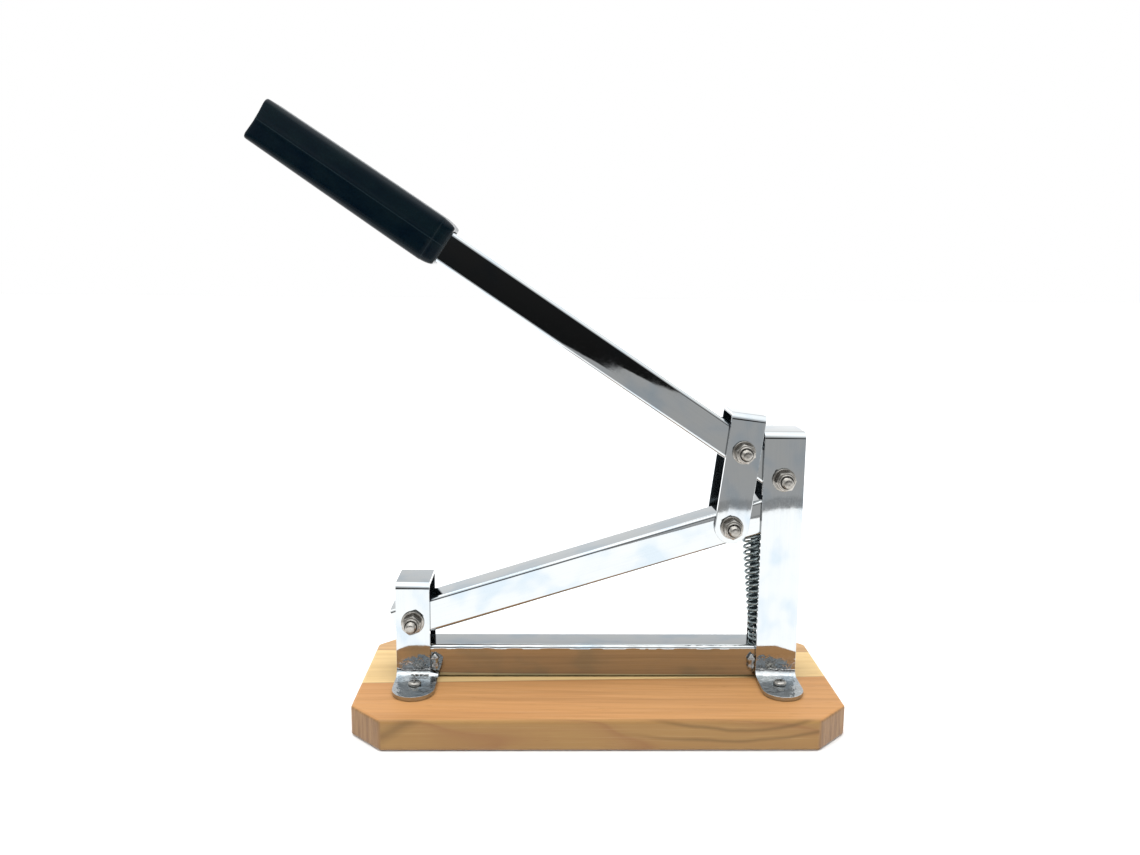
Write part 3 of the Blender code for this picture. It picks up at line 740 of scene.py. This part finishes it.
def make_spring(steel):
    """A compression coil with a closed turn at each end, leaning with the arm it carries."""
    low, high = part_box("return_spring")
    radius = (high.y - low.y - SPRING_WIRE) / 2
    foot = high.x - SPRING_WIRE / 2 - radius
    head = low.x + SPRING_WIRE / 2 + radius
    slope = math.tan(ARM_RISE)
    bottom = low.z + SPRING_WIRE / 2
    top = high.z - SPRING_WIRE / 2 - radius * slope
    depth = (low.y + high.y) / 2
    steps = SPRING_TURNS * SPRING_STEPS
    closed = CLOSED_TURNS / SPRING_TURNS
    closed_rise = CLOSED_TURNS * SPRING_WIRE * 1.04 / (top - bottom)

    def rise_at(share):
        if share < closed:
            return closed_rise * share / closed
        if share > 1 - closed:
            return 1 - closed_rise * (1 - share) / closed
        return closed_rise + (1 - 2 * closed_rise) * (share - closed) / (1 - 2 * closed)

    route = []
    for step in range(steps + 1):
        share = step / steps
        a = 2 * math.pi * SPRING_TURNS * share
        up = rise_at(share)
        off = radius * math.cos(a)
        route.append(Vector((foot + up * (head - foot) + off, depth + radius * math.sin(a),
                             bottom + up * (top - bottom) + up * off * slope)))
    rings = []
    for i, point in enumerate(route):
        ahead = (route[min(i + 1, steps)] - route[max(i - 1, 0)]).normalized()
        turn = 2 * math.pi * SPRING_TURNS * i / steps
        outward = Vector((math.cos(turn), math.sin(turn), 0))
        outward = (outward - ahead * outward.dot(ahead)).normalized()
        upward = ahead.cross(outward)
        ring = []
        for side in range(WIRE_SIDES):
            a = 2 * math.pi * side / WIRE_SIDES
            ring.append(point + (outward * math.cos(a) + upward * math.sin(a)) * SPRING_WIRE / 2)
        rings.append(ring)
    mesh = grid_mesh("return_spring", rings)
    mesh.set_sharp_from_angle(angle=math.radians(50))
    spring = show("return_spring_detailed", mesh, steel)
    stand_in(spring, "return_spring", "root")
    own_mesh(spring)


# ---------------------------------------------------------------- grip

# Distances from the lever's hinge
GRIP_MOUTH = 295.5 * MM
GRIP_END = 448 * MM
TUBE_END = 438.8 * MM
SOCKET_HALF = (12.9 * MM, 12.15 * MM)
SOCKET_CORNER = 2.6 * MM
# In millimetres: distance from the lever's hinge, height, depth, corner radius
GRIP_SECTIONS = (
    (295.5, 27.8, 32.8, 2.4), (295.8, 29.2, 34.2, 2.9), (296.6, 30.4, 35.2, 3.4), (298.2, 31.6, 36.2, 3.8),
    (300.6, 32.8, 37.2, 4.3), (303.0, 33.5, 37.7, 4.6), (304.6, 33.7, 37.8, 4.7), (305.0, 34.1, 38.2, 4.8),
    (308.0, 34.2, 38.2, 4.9), (330.0, 34.0, 38.0, 4.9), (355.0, 33.5, 37.7, 4.9), (380.0, 33.0, 37.4, 4.9),
    (405.0, 32.4, 37.0, 4.6), (428.0, 31.8, 36.6, 4.2), (441.0, 31.4, 36.4, 3.8), (445.8, 31.3, 36.3, 3.5),
    (446.9, 31.1, 36.1, 3.4), (447.6, 30.4, 35.4, 3.1), (448.0, 29.1, 34.1, 2.7), (448.0, 27.5, 32.5, 2.3),
)
FLAT_STEPS = 12
CORNER_STEPS = 7
PARTING_HALF = 0.45 * MM
PARTING_PROUD = 0.22 * MM
DRAFT = 0.45 * MM
NOTCH_DEPTH = 0.9 * MM
NOTCH_LENGTH = 4 * MM


def soft_rectangle(half_y, half_z, corner):
    """Rounded rectangle with points along its flats too, from the middle of the +Y side."""
    points = []
    for quarter, (side_y, side_z) in enumerate(((1, 1), (-1, 1), (-1, -1), (1, -1))):
        for step in range(CORNER_STEPS + 1):
            a = math.pi / 2 * (quarter + step / CORNER_STEPS)
            points.append((side_y * (half_y - corner) + corner * math.cos(a),
                           side_z * (half_z - corner) + corner * math.sin(a)))
    full = []
    for i, point in enumerate(points):
        full.append(point)
        following = points[(i + 1) % len(points)]
        if i % (CORNER_STEPS + 1) == CORNER_STEPS:
            for step in range(1, FLAT_STEPS):
                share = step / FLAT_STEPS
                full.append((point[0] + (following[0] - point[0]) * share,
                             point[1] + (following[1] - point[1]) * share))
    return full


def make_grip(rubber):
    """A moulded sleeve: draft to either side of a parting line, a lip at its mouth, a notched end."""
    rings = []
    for distance, height, depth, corner in GRIP_SECTIONS:
        distance *= MM
        half_y, half_z = depth * MM / 2, height * MM / 2
        near_end = max(0.0, (distance - (GRIP_END - NOTCH_LENGTH)) / NOTCH_LENGTH)
        ring = []
        for y, z in soft_rectangle(half_y, half_z, corner * MM):
            out = y
            if abs(y) > half_y * 0.5:
                out -= math.copysign(DRAFT * abs(z) / half_z, y)
            if abs(y) > half_y * 0.9 and GRIP_MOUTH + 9 * MM < distance < GRIP_END - 1 * MM:
                out += math.copysign(PARTING_PROUD * max(0.0, 1 - abs(z) / PARTING_HALF), y)
            notch = NOTCH_DEPTH * near_end * max(0.0, 1 - abs(z) / (half_z * 0.8))
            ring.append((notch - distance, out, z))
        rings.append(ring)
    rings.reverse()
    _, height, depth, corner = [value * MM for value in GRIP_SECTIONS[0]]
    socket_y, socket_z = SOCKET_HALF
    for share, distance in ((0.35, GRIP_MOUTH - 0.1 * MM), (0.85, GRIP_MOUTH + 0.1 * MM),
                            (1.0, GRIP_MOUTH + 0.6 * MM), (1.0, GRIP_MOUTH + 6 * MM), (1.0, TUBE_END)):
        loop = soft_rectangle(depth / 2 + (socket_y - depth / 2) * share,
                              height / 2 + (socket_z - height / 2) * share,
                              corner + (SOCKET_CORNER - corner) * share)
        rings.append([(-distance, y, z) for y, z in loop])
    mesh = grid_mesh("lever_grip", rings)
    mesh.set_sharp_from_angle(angle=math.radians(50))
    hinge = Vector((LEVER_HINGE.x, middle("lever_tube").y, LEVER_HINGE.z))
    place = Matrix.Translation(hinge) @ Matrix.Rotation(LEVER_RISE, 4, "Y")
    grip = show("lever_grip_detailed", mesh, rubber, place)
    stand_in(grip, "lever_grip", "lever")


# ---------------------------------------------------------------- studio

FLOOR_HALF = 9.0
# The mirrored table's front edge: its Y where X is EDGE_AT, its slope along X, its rim's width
TABLE_EDGE = -0.624
EDGE_AT = 0.287
EDGE_SLANT = 0.3
RIM = 0.06
CARD_SIDE = 4.0
CARD_HEIGHT = 0.0004
ROOM_WALL = -2.3
ROOM_HEIGHT = 1.0


def sheet_mesh(name, corners):
    mesh = bpy.data.meshes.new(name)
    mesh.from_pydata(corners, [], [(0, 1, 2, 3)])
    return mesh


def glow_card(name, corners, *stops):
    """A card that only mirrors see: a part of the table or of the room, its glow given by height."""
    g = Graph(name)
    g.tree.nodes.remove(g.shader)
    output = g.tree.nodes["Material Output"]
    height = g.node("ShaderNodeSeparateXYZ", g.place).outputs[2]
    brightest = max(level for _, level in stops)
    tone = g.ramp(height, *((position, level / brightest) for position, level in stops))
    glow = g.node("ShaderNodeEmission", tone, brightest)
    g.tree.links.new(glow.outputs[0], output.inputs["Surface"])
    card = show(name, sheet_mesh(name, corners), g.material)
    card.visible_camera = False
    card.visible_diffuse = False
    card.visible_transmission = False
    card.visible_volume_scatter = False
    card.visible_shadow = False


def make_floor():
    g = Graph("pale_floor")
    tone = g.noise(g.place, scale=3, detail=2)
    g.finish(g.ramp(tone, (0.3, 0.88), (0.7, 0.90)), 0.9, Specular_IOR_Level=0.1)
    h = FLOOR_HALF
    floor = show("floor", sheet_mesh("floor", [(-h, -h, 0), (h, -h, 0), (h, h, 0), (-h, h, 0)]), g.material)
    floor.location.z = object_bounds()[0][2] - 0.0002


# Brightness of the studio by sine of the height above the horizon: as mirrors see it, and as it lights
MIRRORED_SKY = ((0.0, 1.52), (0.12, 1.39), (0.20, 1.18), (0.32, 1.06), (0.40, 0.90), (0.52, 1.02),
                (0.66, 2.0), (1.0, 2.4))
LIGHTING_SKY = ((0.0, 0.22), (0.45, 0.26), (0.70, 1.3), (0.85, 2.6), (1.0, 3.0))
SKY_TINT = (0.985, 1.0, 1.01)


def sky(tree, height, stops):
    band = tree.nodes.new("ShaderNodeValToRGB")
    glow = tree.nodes.new("ShaderNodeBackground")
    brightest = max(level for _, level in stops)
    set_stops(band, [(position, tuple(level / brightest * tint for tint in SKY_TINT))
                     for position, level in stops])
    tree.links.new(height, band.inputs[0])
    tree.links.new(band.outputs[0], glow.inputs["Color"])
    glow.inputs["Strength"].default_value = brightest
    return glow.outputs[0]


def make_world():
    world = bpy.data.worlds.new("studio")
    bpy.context.scene.world = world
    world.use_nodes = True
    tree = world.node_tree
    tree.nodes.clear()
    output = tree.nodes.new("ShaderNodeOutputWorld")
    seen = tree.nodes.new("ShaderNodeBackground")
    seen.inputs["Color"].default_value = (1, 1, 1, 1)
    rays = tree.nodes.new("ShaderNodeLightPath")
    place = tree.nodes.new("ShaderNodeTexCoord")
    split = tree.nodes.new("ShaderNodeSeparateXYZ")
    tree.links.new(place.outputs["Generated"], split.inputs[0])
    height = split.outputs["Z"]
    result = sky(tree, height, LIGHTING_SKY)
    mirrored = sky(tree, height, MIRRORED_SKY)
    for ray, other in (("Is Glossy Ray", mirrored), ("Is Camera Ray", seen.outputs[0])):
        mix = tree.nodes.new("ShaderNodeMixShader")
        tree.links.new(rays.outputs[ray], mix.inputs[0])
        tree.links.new(result, mix.inputs[1])
        tree.links.new(other, mix.inputs[2])
        result = mix.outputs[0]
    tree.links.new(result, output.inputs[0])


def area_light(name, at, towards, size, power):
    data = bpy.data.lights.new(name, "AREA")
    data.shape = "RECTANGLE"
    data.size, data.size_y = size
    data.energy = power
    lamp = bpy.data.objects.new(name, data)
    bpy.context.scene.collection.objects.link(lamp)
    lamp.location = at
    lamp.rotation_euler = (Vector(towards) - Vector(at)).to_track_quat("-Z", "Y").to_euler()


def lying_card(name, front, back, level):
    """A card just above the floor; front and back are the Y of its left and its right end."""
    corners = [(-CARD_SIDE, front[0], CARD_HEIGHT), (CARD_SIDE, front[1], CARD_HEIGHT),
               (CARD_SIDE, back[1], CARD_HEIGHT), (-CARD_SIDE, back[0], CARD_HEIGHT)]
    glow_card(name, corners, (0.0, level))


def make_studio():
    bpy.context.scene.view_settings.view_transform = "Standard"
    make_world()
    make_floor()
    edge = [TABLE_EDGE - EDGE_SLANT * (x - EDGE_AT) for x in (-CARD_SIDE, CARD_SIDE)]
    rim = [y - RIM for y in edge]
    lying_card("table_card", edge, (CARD_SIDE, CARD_SIDE), 2.35)
    lying_card("table_rim_card", rim, edge, 0.52)
    lying_card("room_floor_card", (ROOM_WALL, ROOM_WALL), rim, 0.72)
    wall = [(x, ROOM_WALL, z) for x, z in ((-CARD_SIDE, 0), (CARD_SIDE, 0),
                                           (CARD_SIDE, ROOM_HEIGHT), (-CARD_SIDE, ROOM_HEIGHT))]
    glow_card("room_wall_card", wall, (0.0, 0.012), (0.45, 0.026), (0.62, 0.20), (1.0, 0.88))
    area_light("softbox_above", (-0.25, -0.15, 1.5), (0, 0, 0.1), (1.5, 1.2), 6)


# ---------------------------------------------------------------- the object

# Each bolted joint's nut turn and bolt turn
BOLT_TURNS = {
    "arm_hinge": (0.35, 1.1),
    "lever_hinge": (0.1, 0.6),
    "link_upper": (0.75, 0.2),
    "link_lower": (0.5, 1.7),
}
TUBE_EASE = 0.15 * MM
STUD_EASE = 0.2 * MM
STRIP_EASE = 0.35 * MM
LINK_REACH = 28 * MM

make_camera()
make_studio()

dress("base_board", board_wood())
dress("lower_beam", plated("plated_beam", 0.0, 1.3, wave=BEAM_EDGE), TUBE_EASE)
for post, seed in (("left_post", 2.7), ("right_post", 4.1)):
    roof = Vector((0, ARM_HINGE.y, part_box(post)[1].z - BENDS))
    inside_post = (roof, Vector((0, 0, 1)))
    dress(post, plated("plated_" + post, math.pi / 2, seed, inside=inside_post, worn=WORN_BELOW), STRIP_EASE)
link_up = (LINK_HINGE - OPEN_PIVOT).normalized()
inside_link = (LINK_HINGE + link_up * (LINK_REACH - BENDS), link_up)
dress("link_strap", plated("plated_link", math.pi / 2 + LINK_LEAN, 5.9, inside=inside_link), STRIP_EASE)
dress("arm_tube", plated("plated_arm", ARM_RISE, 7.3), TUBE_EASE)
dress("lever_tube", plated("plated_lever", -LEVER_RISE, 8.6), TUBE_EASE)
dress("spring_stud", plated("plated_stud", 0.0, 9.9), STUD_EASE)

STEEL = turned_steel()
NYLON = dark_nylon()
WELD = weld_metal()
for hinge_name, (nut_turn, bolt_turn) in BOLT_TURNS.items():
    make_nut(hinge_name, nut_turn, STEEL, NYLON)
    make_bolt(hinge_name, bolt_turn, STEEL)
    for where in ("front", "rear"):
        make_washer(hinge_name, where, STEEL)
for index, screw in enumerate(sorted(name for name in NODES if name.startswith("foot_screw"))):
    make_foot_screw(screw, 0.4 + 0.7 * index, STEEL)
for index, bead in enumerate(sorted(name for name in NODES if name.startswith("weld_bead"))):
    make_weld(bead, 1.7 * index + 0.4, WELD)
make_spring(spring_wire())
make_grip(grip_rubber())
